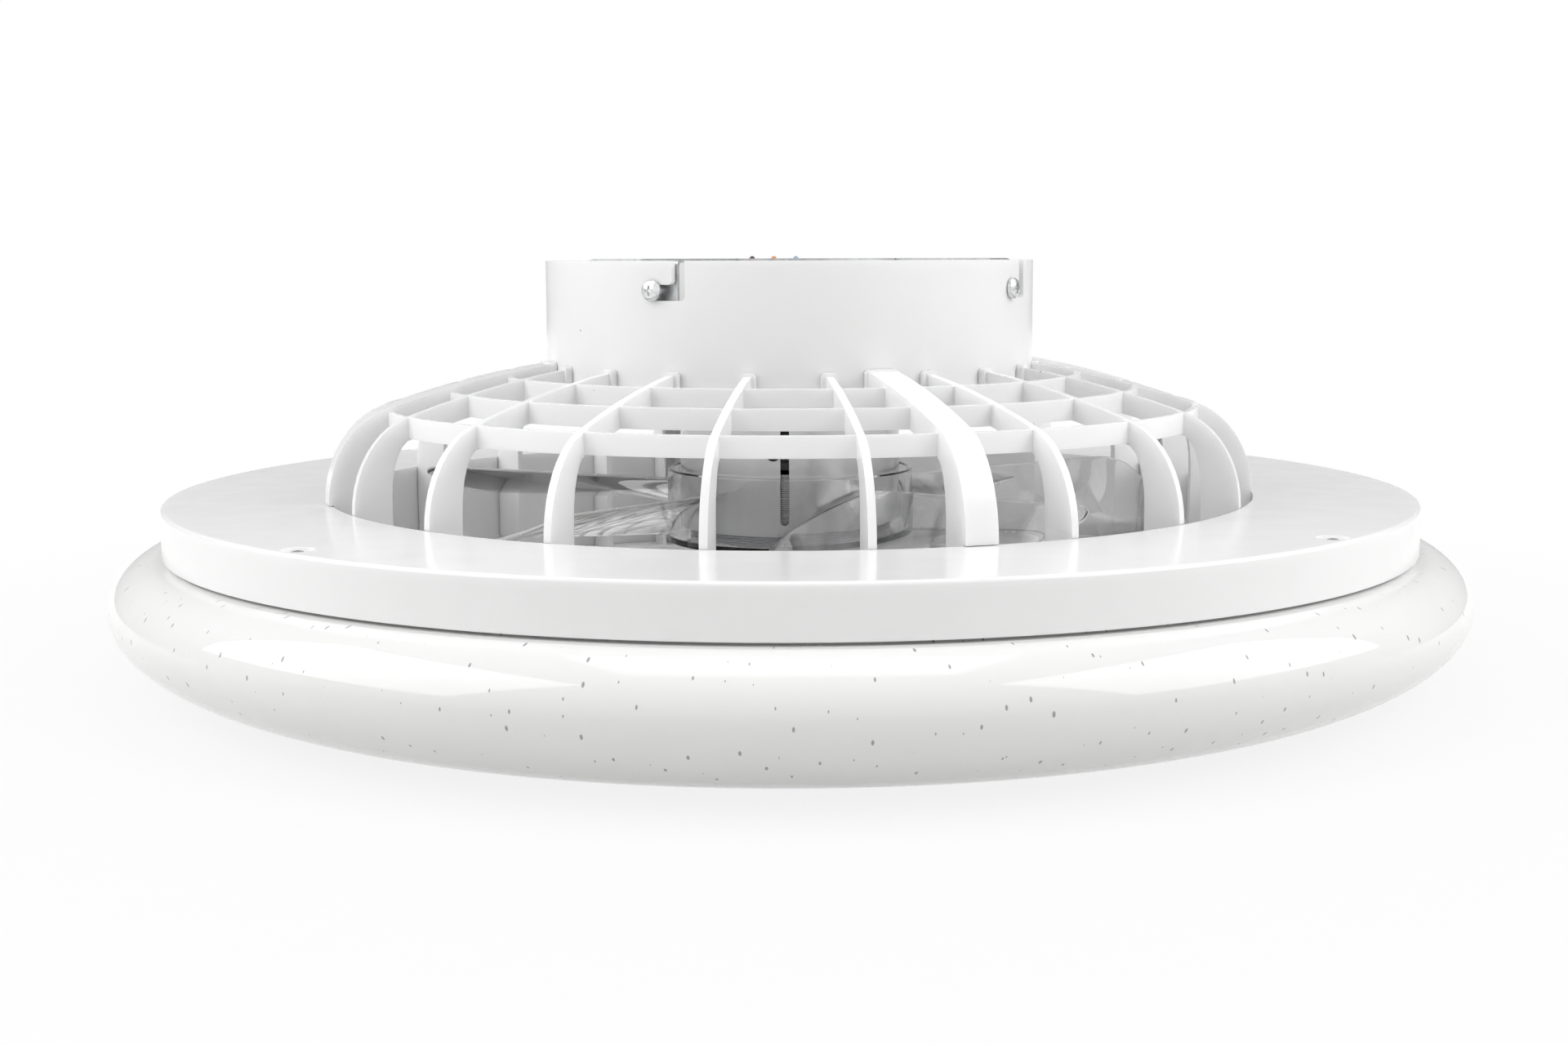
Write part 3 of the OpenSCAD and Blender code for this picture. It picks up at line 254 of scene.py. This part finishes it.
# ---- Canopy ----
# Moulded in white gloss ABS, 3 mm thick, with an L-shaped slot for each locking screw. Polished
# tool steel gives the gloss, the melt's flow a faint long wave, and dust a few specks.
def gloss_abs():
    """White ABS from a polished mould. The light that enters it softens its shaded sides."""
    cloud_mm, speck_mm, speck_share, haze_mm, wave_mm, skin_mm = 45, 26, 0.016, 18, 22, 1.2
    finish, tree, shader = material("moulded_white_abs", IOR=1.53, Subsurface_Weight=0.4,
                                    Subsurface_Scale=0.004, Subsurface_Radius=(1.0, 1.0, 1.0))
    place = add(tree, "TexCoord").outputs["Object"]
    cloud = add(tree, "TexNoise", {"Scale": 1000 / cloud_mm, "Detail": 3.0}, {"Vector": place})
    tone = add(tree, "ValToRGB", None, {0: cloud.outputs["Fac"]})
    tone.color_ramp.elements[0].color = linear("#F0F0F0")
    tone.color_ramp.elements[1].color = linear("#F6F6F6")
    specks = add(tree, "TexVoronoi", {"Scale": 1000 / speck_mm}, {"Vector": place})
    speck = add(tree, "Math", {"operation": "LESS_THAN", 1: speck_share},
                {0: specks.outputs["Distance"]})
    mixed = add(tree, "Mix", {"data_type": "RGBA", 7: linear("#8E8A84")},
                {0: speck.outputs[0], 6: tone.outputs["Color"]})
    tree.links.new(mixed.outputs[2], shader.inputs["Base Color"])
    haze = add(tree, "TexNoise", {"Scale": 1000 / haze_mm, "Detail": 5.0}, {"Vector": place})
    rough = add(tree, "MapRange", {"To Min": 0.12, "To Max": 0.2}, {"Value": haze.outputs["Fac"]})
    tree.links.new(rough.outputs[0], shader.inputs["Roughness"])
    wave = add(tree, "TexNoise", {"Scale": 1000 / wave_mm, "Detail": 2.0}, {"Vector": place})
    grain = add(tree, "TexNoise", {"Scale": 1000 / skin_mm, "Detail": 2.0}, {"Vector": place})
    long_wave = add(tree, "Bump", {"Strength": 0.05, "Distance": 0.0006},
                    {"Height": wave.outputs["Fac"]})
    skin = add(tree, "Bump", {"Strength": 0.05, "Distance": 0.0001},
               {"Height": grain.outputs["Fac"], "Normal": long_wave.outputs[0]})
    tree.links.new(skin.outputs[0], shader.inputs["Normal"])
    return finish


white_abs = gloss_abs()
dress(white_abs, "canopy")
break_edges("canopy", width=0.0004)
dress(zinc_steel, "canopy_screws")


# ---- Motor plate, driver and controller ----
# A punched and zinc plated steel disc inside the canopy carries the motor. Two moulded boxes, the
# light's driver and the fan's controller, are screwed on it.
dress(zinc_steel, "motor_plate", "box_screws")
dress(nylon, "led_driver", "fan_controller")


# ---- Upper cage ----
# One white ABS moulding: a seat ring under the canopy, four wide ribs that cover cables, twenty
# thin ribs and three rings. Its edges are broken all round, and catch a thin line of light.
dress(white_abs, "upper_cage")
break_edges("upper_cage", width=0.0005)


# ---- Ring housing ----
# White ABS moulding with a flat face, a skirt and the air duct. Its four dimples take the
# diffuser's screws.
dress(white_abs, "ring_housing")
break_edges("ring_housing", width=0.0004)


# ---- Light ----
# An aluminium tray, screwed under the ring housing, carries a white ring board with two rows of
# yellow phosphor chips. The diffuser hides them.
dress(plated_steel("mill_aluminium", "#B4B6B8", "#D2D3D4", crystal_mm=4.0, roughness=0.4),
      "led_tray")
dress(moulded("white_solder_mask", "#ECECE8", roughness=0.38, grain_mm=0.5), "led_board")
dress(moulded("phosphor_silicone", "#E3C765", roughness=0.45, grain_mm=0.4), "led_chips")
dress(zinc_steel, "tray_screws")


# ---- Diffuser ----
# Opal acrylic, blow formed in one piece, 2 mm thick, with a high gloss. Grey flecks are mixed in
# the sheet and stretch where it is drawn down, so they show as sparse dots taller than they are
# wide.
belly_r, z_belly = 0.236, 0.035  # the middle of the ring's section
belly_w = 0.064  # from there out to its widest line


def lathe(name, profile, around=256):
    """A closed solid of revolution from a closed outline of (radius, height) points."""
    points = [(r * math.sin(a), -r * math.cos(a), z)
              for a in (2 * math.pi * i / around for i in range(around)) for r, z in profile]
    n = len(profile)
    faces = [(i * n + j, i * n + (j + 1) % n,
              (i + 1) % around * n + (j + 1) % n, (i + 1) % around * n + j)
             for i in range(around) for j in range(n)]
    mesh = bpy.data.meshes.new(name)
    mesh.from_pydata(points, [], faces)
    mesh.validate()
    mesh.shade_smooth()
    piece = bpy.data.objects.new(name, mesh)
    bpy.context.scene.collection.objects.link(piece)
    return piece


def quarter_curve(x, y, a, b, start, end, steps, power=2.0):
    """Points of a quarter curve about (x, y): a true ellipse at power 2, flatter below it."""
    points = []
    for i in range(steps + 1):
        t = math.radians(start + (end - start) * i / steps)
        c, s = math.cos(t), math.sin(t)
        points.append((x + a * math.copysign(abs(c) ** (2 / power), c),
                       y + b * math.copysign(abs(s) ** (2 / power), s)))
    return points


def diffuser_profile():
    """The ring's section: lip, shoulder, the belly down to the foot, and up to the inner edge."""
    wall, neck_fillet = 0.002, 0.0008
    shoulder_r, shoulder_w, shoulder_h, shoulder_power = 0.280, 0.020, 0.0192, 1.75
    lip_r, z_neck, z_lip, edge_r, z_edge = 0.2728, 0.0542, 0.0627, 0.2102, 0.029
    inner_w, inner_rise = belly_r - edge_r, 0.020
    return ([(lip_r, z_lip), (lip_r, z_neck + neck_fillet), (lip_r + neck_fillet, z_neck)]
            + quarter_curve(shoulder_r, z_belly, shoulder_w, shoulder_h, 90, 0, 30, shoulder_power)
            + quarter_curve(belly_r, z_belly, belly_w, z_belly, 0, -90, 60)[1:]
            + quarter_curve(belly_r, inner_rise, inner_w, inner_rise, -90, -180, 24)[1:]
            + [(edge_r, z_edge), (edge_r + wall, z_edge)]
            + quarter_curve(belly_r, inner_rise, inner_w - wall, inner_rise - wall, -180, -90, 24)
            + quarter_curve(belly_r, z_belly, belly_w - wall, z_belly - wall, -90, 0, 60)[1:]
            + quarter_curve(shoulder_r, z_belly, shoulder_w - wall, shoulder_h - wall, 0, 90, 30,
                            shoulder_power)[1:]
            + [(lip_r - wall, z_neck - wall), (lip_r - wall, z_lip)])


def opal_acrylic():
    """Opal sheet: the flecks lie on its unrolled surface, round the ring and round its section."""
    fleck_mm, stretch, cloud_mm, wave_mm = 8, 1.7, 60, 70
    bare_share, fleck_size, fleck_depth, soft_edge = 0.1, 0.075, 0.85, 0.02
    round_r, section_r = 0.28, 0.05  # radians to metres, round the ring and round its section
    finish, tree, shader = material("opal_acrylic", IOR=1.49, Roughness=0.03,
                                    Subsurface_Weight=0.25, Subsurface_Scale=0.006,
                                    Subsurface_Radius=(1.0, 1.0, 0.95))
    place = add(tree, "TexCoord").outputs["Object"]
    split = add(tree, "SeparateXYZ", None, {0: place})
    turn = add(tree, "Math", {"operation": "ARCTAN2"},
               {0: split.outputs["X"], 1: split.outputs["Y"]})
    along = add(tree, "Math", {"operation": "MULTIPLY", 1: round_r}, {0: turn.outputs[0]})
    flat = add(tree, "VectorMath", {"operation": "MULTIPLY", 1: (1, 1, 0)}, {0: place})
    reach = add(tree, "VectorMath", {"operation": "LENGTH"}, {0: flat.outputs[0]})
    out = add(tree, "Math", {"operation": "SUBTRACT", 1: belly_r}, {0: reach.outputs["Value"]})
    up = add(tree, "Math", {"operation": "SUBTRACT", 1: z_belly}, {0: split.outputs["Z"]})
    lean = add(tree, "Math", {"operation": "ARCTAN2"}, {0: up.outputs[0], 1: out.outputs[0]})
    down = add(tree, "Math", {"operation": "MULTIPLY", 1: section_r / stretch},
               {0: lean.outputs[0]})
    sheet = add(tree, "CombineXYZ", None, {"X": along.outputs[0], "Y": down.outputs[0]})
    flecks = add(tree, "TexVoronoi", {"voronoi_dimensions": "2D", "Scale": 1000 / fleck_mm},
                 {"Vector": sheet.outputs[0]})
    chance = add(tree, "SeparateXYZ", None, {0: flecks.outputs["Color"]})
    size = add(tree, "MapRange",
               {"From Min": bare_share, "From Max": 1.0, "To Min": 0.0, "To Max": fleck_size},
               {"Value": chance.outputs["X"]})
    inside = add(tree, "Math", {"operation": "SUBTRACT"},
                 {0: size.outputs[0], 1: flecks.outputs["Distance"]})
    fleck = add(tree, "MapRange",
                {"From Min": 0.0, "From Max": soft_edge, "To Min": 0.0, "To Max": fleck_depth},
                {"Value": inside.outputs[0]})
    cloud = add(tree, "TexNoise", {"Scale": 1000 / cloud_mm, "Detail": 2.0}, {"Vector": place})
    tone = add(tree, "ValToRGB", None, {0: cloud.outputs["Fac"]})
    tone.color_ramp.elements[0].color = linear("#EEEEED")
    tone.color_ramp.elements[1].color = linear("#F3F3F2")
    mixed = add(tree, "Mix", {"data_type": "RGBA", 7: linear("#8B8D8E")},
                {0: fleck.outputs[0], 6: tone.outputs["Color"]})
    tree.links.new(mixed.outputs[2], shader.inputs["Base Color"])
    wave = add(tree, "TexNoise", {"Scale": 1000 / wave_mm, "Detail": 1.0}, {"Vector": place})
    bump = add(tree, "Bump", {"Strength": 0.06, "Distance": 0.001},
               {"Height": wave.outputs["Fac"]})
    tree.links.new(bump.outputs[0], shader.inputs["Normal"])
    return finish


diffuser = lathe("opal_ring", diffuser_profile())
diffuser.data.materials.append(opal_acrylic())
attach(diffuser, "housing")
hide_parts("diffuser")
dress(bright_zinc, "diffuser_screws")


# ---- Lower guard ----
# White ABS moulding under the impeller, with 24 ribs and its rings, held by screws. A cap of the
# same plastic closes its middle.
dress(white_abs, "lower_guard", "guard_cap")
dress(bright_zinc, "guard_screws")


# ---- Motor, fixed pieces ----
# A turned and plated can hangs from the motor plate on four rubber washers. Its bright side shows
# long upright reflections between the ribs. A black grommet lets the lead in.
def turned_metal(name, colour, roughness, metallic=1.0):
    """Metal turned on a lathe: fine rings round the axis, drawn coarse enough to show."""
    ring_scale = 1000 / 3.0  # rings nearly a millimetre apart, where real ones are a tenth of that
    finish, tree, shader = material(name, Base_Color=colour, Metallic=metallic, Anisotropic=0.4)
    place = add(tree, "TexCoord").outputs["Object"]
    rings = add(tree, "TexWave",
                {"bands_direction": "Z", "Scale": ring_scale, "Distortion": 0.4, "Detail": 2.0},
                {"Vector": place})
    rough = add(tree, "MapRange", {"To Min": roughness - 0.03, "To Max": roughness + 0.05},
                {"Value": rings.outputs["Fac"]})
    tree.links.new(rough.outputs[0], shader.inputs["Roughness"])
    bump = add(tree, "Bump", {"Strength": 0.04, "Distance": 0.0001},
               {"Height": rings.outputs["Fac"]})
    tree.links.new(bump.outputs[0], shader.inputs["Normal"])
    return finish


def can_with_painted_shade():
    """The can's finish: plated outside, and painted shade on its wall's inner side, where the slot
    shows it.
    """
    # Inside the outer skin the can is coloured dark: painted shade for its unlit inside.
    inside_r, plated, dark = 0.0488, "#DCDCDD", "#3C3C3E"
    finish = turned_metal("turned_plated_can", plated, roughness=0.2, metallic=0.6)
    tree = finish.node_tree
    place = add(tree, "TexCoord").outputs["Object"]
    flat = add(tree, "VectorMath", {"operation": "MULTIPLY", 1: (1, 1, 0)}, {0: place})
    reach = add(tree, "VectorMath", {"operation": "LENGTH"}, {0: flat.outputs[0]})
    outside = add(tree, "Math", {"operation": "GREATER_THAN", 1: inside_r},
                  {0: reach.outputs["Value"]})
    tone = add(tree, "Mix", {"data_type": "RGBA", 6: linear(dark), 7: linear(plated)},
               {0: outside.outputs[0]})
    tree.links.new(tone.outputs[2], tree.nodes["Principled BSDF"].inputs["Base Color"])
    return finish


dress(can_with_painted_shade(), "motor_housing")
dress(moulded("black_rubber", "#161616", roughness=0.6, grain_mm=0.5, depth=0.2),
      "isolators", "lead_grommet")
dress(zinc_steel, "motor_screws")
dress(moulded("green_solder_mask", "#1F5A36", roughness=0.35, grain_mm=0.6), "motor_board")


# ---- Shaft and stator ----
# A ground steel shaft, bright with fine rings, its nut, clip and two ball bearings, a nylon bush,
# a core of stamped steel sheets and coils of enamelled copper wire.
dress(turned_metal("ground_steel", "#BFC0C2", roughness=0.2),
      "shaft", "upper_bearing", "lower_bearing")
dress(zinc_steel, "shaft_nut")
dress(plated_steel("blackened_spring_steel", "#2A2A2C", "#3A3A3C",
                   crystal_mm=1.5, roughness=0.4), "shaft_clip")
dress(nylon, "stator_bush")
# A wave texture repeats every 314 mm divided by its scale. A scale made with this divisor draws
# the bands about twice as wide as they are, which is as fine as they show.
wave_turn = 6.28


def laminations():
    """Electrical steel sheets, 0.5 mm thick and drawn at twice that: dark, with fine lines."""
    sheet_mm = 0.5
    finish, tree, shader = material("stamped_laminations", Metallic=0.9, Roughness=0.42)
    place = add(tree, "TexCoord").outputs["Object"]
    sheets = add(tree, "TexWave", {"bands_direction": "Z", "Scale": 1000 / sheet_mm / wave_turn},
                 {"Vector": place})
    tone = add(tree, "ValToRGB", None, {0: sheets.outputs["Fac"]})
    tone.color_ramp.elements[0].color = linear("#3B3C3F")
    tone.color_ramp.elements[1].color = linear("#75777A")
    tree.links.new(tone.outputs["Color"], shader.inputs["Base Color"])
    return finish


def copper_windings():
    """Enamelled copper wire, 0.7 mm thick and drawn at twice that: warm bright turns."""
    wire_mm = 0.7
    finish, tree, shader = material("enamelled_copper", Metallic=0.8, Roughness=0.28)
    place = add(tree, "TexCoord").outputs["Object"]
    wires = add(tree, "TexWave",
                {"bands_direction": "Z", "Scale": 1000 / wire_mm / wave_turn, "Distortion": 0.6},
                {"Vector": place})
    tone = add(tree, "ValToRGB", None, {0: wires.outputs["Fac"]})
    tone.color_ramp.elements[0].color = linear("#6B2F14")
    tone.color_ramp.elements[1].color = linear("#C87A45")
    tree.links.new(tone.outputs["Color"], shader.inputs["Base Color"])
    bump = add(tree, "Bump", {"Strength": 0.5, "Distance": 0.0003},
               {"Height": wires.outputs["Fac"]})
    tree.links.new(bump.outputs[0], shader.inputs["Normal"])
    return finish


dress(laminations(), "stator_core")
dress(copper_windings(), "stator_coils")


# ---- Rotor ----
# A steel cup, drawn and then plated, with its cover. Inside it stand fourteen magnets of sintered
# ferrite, which is dull, dark and rough.
# Cup and cover are plated steel coloured darker than it is: painted shade for the dim inside of
# the can.
dress(turned_metal("rotor_steel_painted_shade", "#97979A", roughness=0.26),
      "rotor_shell", "rotor_cover")
dress(moulded("sintered_ferrite", "#2B2B2D", roughness=0.55, grain_mm=0.4, depth=0.25),
      "rotor_magnets")


# ---- Impeller ----
# Moulded in clear polycarbonate: an open hub and five cambered blades, 2.4 mm thick at their
# middle. It takes its colour from what is behind it and shows itself by its pale rims and folded
# reflections.
def clear_polycarbonate():
    """Clear plastic with a faint flow wave. Light falls through it, so what is below stays lit."""
    flow_mm = 40
    finish, tree, shader = material("clear_polycarbonate", Base_Color="#FDFDFD", IOR=1.585,
                                    Transmission_Weight=1.0, Roughness=0.02)
    place = add(tree, "TexCoord").outputs["Object"]
    flow = add(tree, "TexNoise", {"Scale": 1000 / flow_mm, "Detail": 2.0}, {"Vector": place})
    bump = add(tree, "Bump", {"Strength": 0.10, "Distance": 0.001},
               {"Height": flow.outputs["Fac"]})
    tree.links.new(bump.outputs[0], shader.inputs["Normal"])
    lit_through = add(tree, "BsdfTransparent", {"Color": linear("#DADADA")})
    both = add(tree, "MixShader", None, {0: add(tree, "LightPath").outputs["Is Shadow Ray"],
                                         1: shader.outputs[0], 2: lit_through.outputs[0]})
    tree.links.new(both.outputs[0], tree.nodes["Material Output"].inputs["Surface"])
    return finish


def trimmed_rim():
    """The blades' narrow rims, which the trimming of the mould's flash leaves milky."""
    scuff_mm = 3
    finish, tree, shader = material("trimmed_polycarbonate_rim", Base_Color="#FCFCFC", IOR=1.585,
                                    Transmission_Weight=0.4)
    place = add(tree, "TexCoord").outputs["Object"]
    scuffs = add(tree, "TexNoise", {"Scale": 1000 / scuff_mm, "Detail": 3.0}, {"Vector": place})
    rough = add(tree, "MapRange", {"To Min": 0.16, "To Max": 0.34},
                {"Value": scuffs.outputs["Fac"]})
    tree.links.new(rough.outputs[0], shader.inputs["Roughness"])
    return finish


clear_finish, rim_finish = clear_polycarbonate(), trimmed_rim()
hub_r, hub_wall, z_hub, hub_h, hub_floor = 0.056, 0.0022, 0.0514, 0.033, 0.0025
hub_hole_r, hub_fillet = 0.009, 0.0006
blade_count, blade_at, z_blades = 5, 43, 0.0756
root_r, tip_r, tip_corner = 0.0549, 0.180, 0.012
# Each pair is a blade's value at its root and at its tip: the angle that it spans in degrees, how
# high its rear edge stands, how far it falls to its front edge, and how its fall is bent.
spans, lifts, falls, bends = (51, 50), (0.002, 0.006), (0.023, 0.026), (-1.5, 2.6)
half_t, edge_share = 0.0012, 0.45  # half a blade's thickness, and the share left at its edges


def blend_of(a, b, k):
    """The value a share k of the way from a to b."""
    return a + (b - a) * k


def blade_point(k, s0, side):
    """A point of a blade: k runs out from hub to tip, s0 from the rear edge to the front edge."""
    r = blend_of(root_r, tip_r, k)
    span = blend_of(*spans, k)
    inside = max(0.0, r - tip_r + tip_corner)
    corner = tip_corner - math.sqrt(max(0.0, tip_corner ** 2 - inside ** 2))
    edge = corner / r * 180 / math.pi / span
    s = edge + s0 * (1 - 2 * edge)
    bend = blend_of(*bends, k)
    fall = (1 - math.exp(-bend * s)) / (1 - math.exp(-bend))
    z = blend_of(*lifts, k) - blend_of(*falls, k) * fall
    half = half_t * (edge_share + (1 - edge_share) * math.sin(math.pi * s0))
    bearing = math.radians(-span * s)
    return r * math.sin(bearing), -r * math.cos(bearing), z_blades + z + side * half


def blade_mesh():
    """A closed blade: its upper and lower face, then the rims, which take the second material.
    The stations crowd towards the tip, where its corners are round."""
    stations, chords, crowding = 40, 44, 1.6
    points = [blade_point(1 - (1 - i / stations) ** crowding, j / chords, side)
              for side in (1, -1) for i in range(stations + 1) for j in range(chords + 1)]
    faces = []

    def at(side, i, j):
        return (side * (stations + 1) + i) * (chords + 1) + j

    for i in range(stations):
        for j in range(chords):
            faces.append((at(0, i, j), at(0, i, j + 1), at(0, i + 1, j + 1), at(0, i + 1, j)))
            faces.append((at(1, i, j), at(1, i + 1, j), at(1, i + 1, j + 1), at(1, i, j + 1)))
    broad = len(faces)
    for i in range(stations):
        faces.append((at(0, i, 0), at(0, i + 1, 0), at(1, i + 1, 0), at(1, i, 0)))
        faces.append((at(0, i, chords), at(1, i, chords),
                      at(1, i + 1, chords), at(0, i + 1, chords)))
    for j in range(chords):
        faces.append((at(0, 0, j), at(1, 0, j), at(1, 0, j + 1), at(0, 0, j + 1)))
        faces.append((at(0, stations, j), at(0, stations, j + 1),
                      at(1, stations, j + 1), at(1, stations, j)))
    mesh = bpy.data.meshes.new("blade")
    mesh.from_pydata(points, [], faces)
    for face in mesh.polygons[broad:]:
        face.material_index = 1
    return mesh


def joined(name, first, others):
    """One solid from pieces that overlap."""
    for other in others:
        cut = first.modifiers.new("union", "BOOLEAN")
        cut.operation = "UNION"
        cut.solver = "EXACT"
        cut.object = other
    bpy.context.view_layer.update()
    result = first.evaluated_get(bpy.context.evaluated_depsgraph_get())
    mesh = bpy.data.meshes.new_from_object(result)
    for old in [first] + others:
        bpy.data.objects.remove(old)
    piece = bpy.data.objects.new(name, mesh)
    bpy.context.scene.collection.objects.link(piece)
    return piece


hub = lathe("hub", [
    (hub_r, z_hub), (hub_r, z_hub + hub_h - hub_fillet), (hub_r - hub_fillet, z_hub + hub_h),
    (hub_r - hub_wall + hub_fillet, z_hub + hub_h), (hub_r - hub_wall, z_hub + hub_h - hub_fillet),
    (hub_r - hub_wall, z_hub + hub_floor), (hub_hole_r, z_hub + hub_floor),
    (hub_hole_r, z_hub)], around=128)
blades = []
for i in range(blade_count):
    blade = bpy.data.objects.new(f"blade_{i}", blade_mesh())
    blade.data.transform(Matrix.Rotation(math.radians(blade_at + i * 360 / blade_count), 4, "Z"))
    bpy.context.scene.collection.objects.link(blade)
    rim = blade.modifiers.new("round_rim", "BEVEL")
    rim.width = 0.00045
    rim.segments = 3
    rim.angle_limit = math.radians(55)
    rim.material = 1
    blades.append(blade)
for piece in [hub] + blades:
    piece.data.materials.append(clear_finish)
    piece.data.materials.append(rim_finish)
impeller = joined("clear_impeller", hub, blades)
impeller.data.shade_smooth()
impeller.data.set_sharp_from_angle(angle=math.radians(40))
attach(impeller, "rotor")
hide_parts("impeller")
dress(clear_finish, "impeller_cap")
dress(zinc_steel, "impeller_screws")
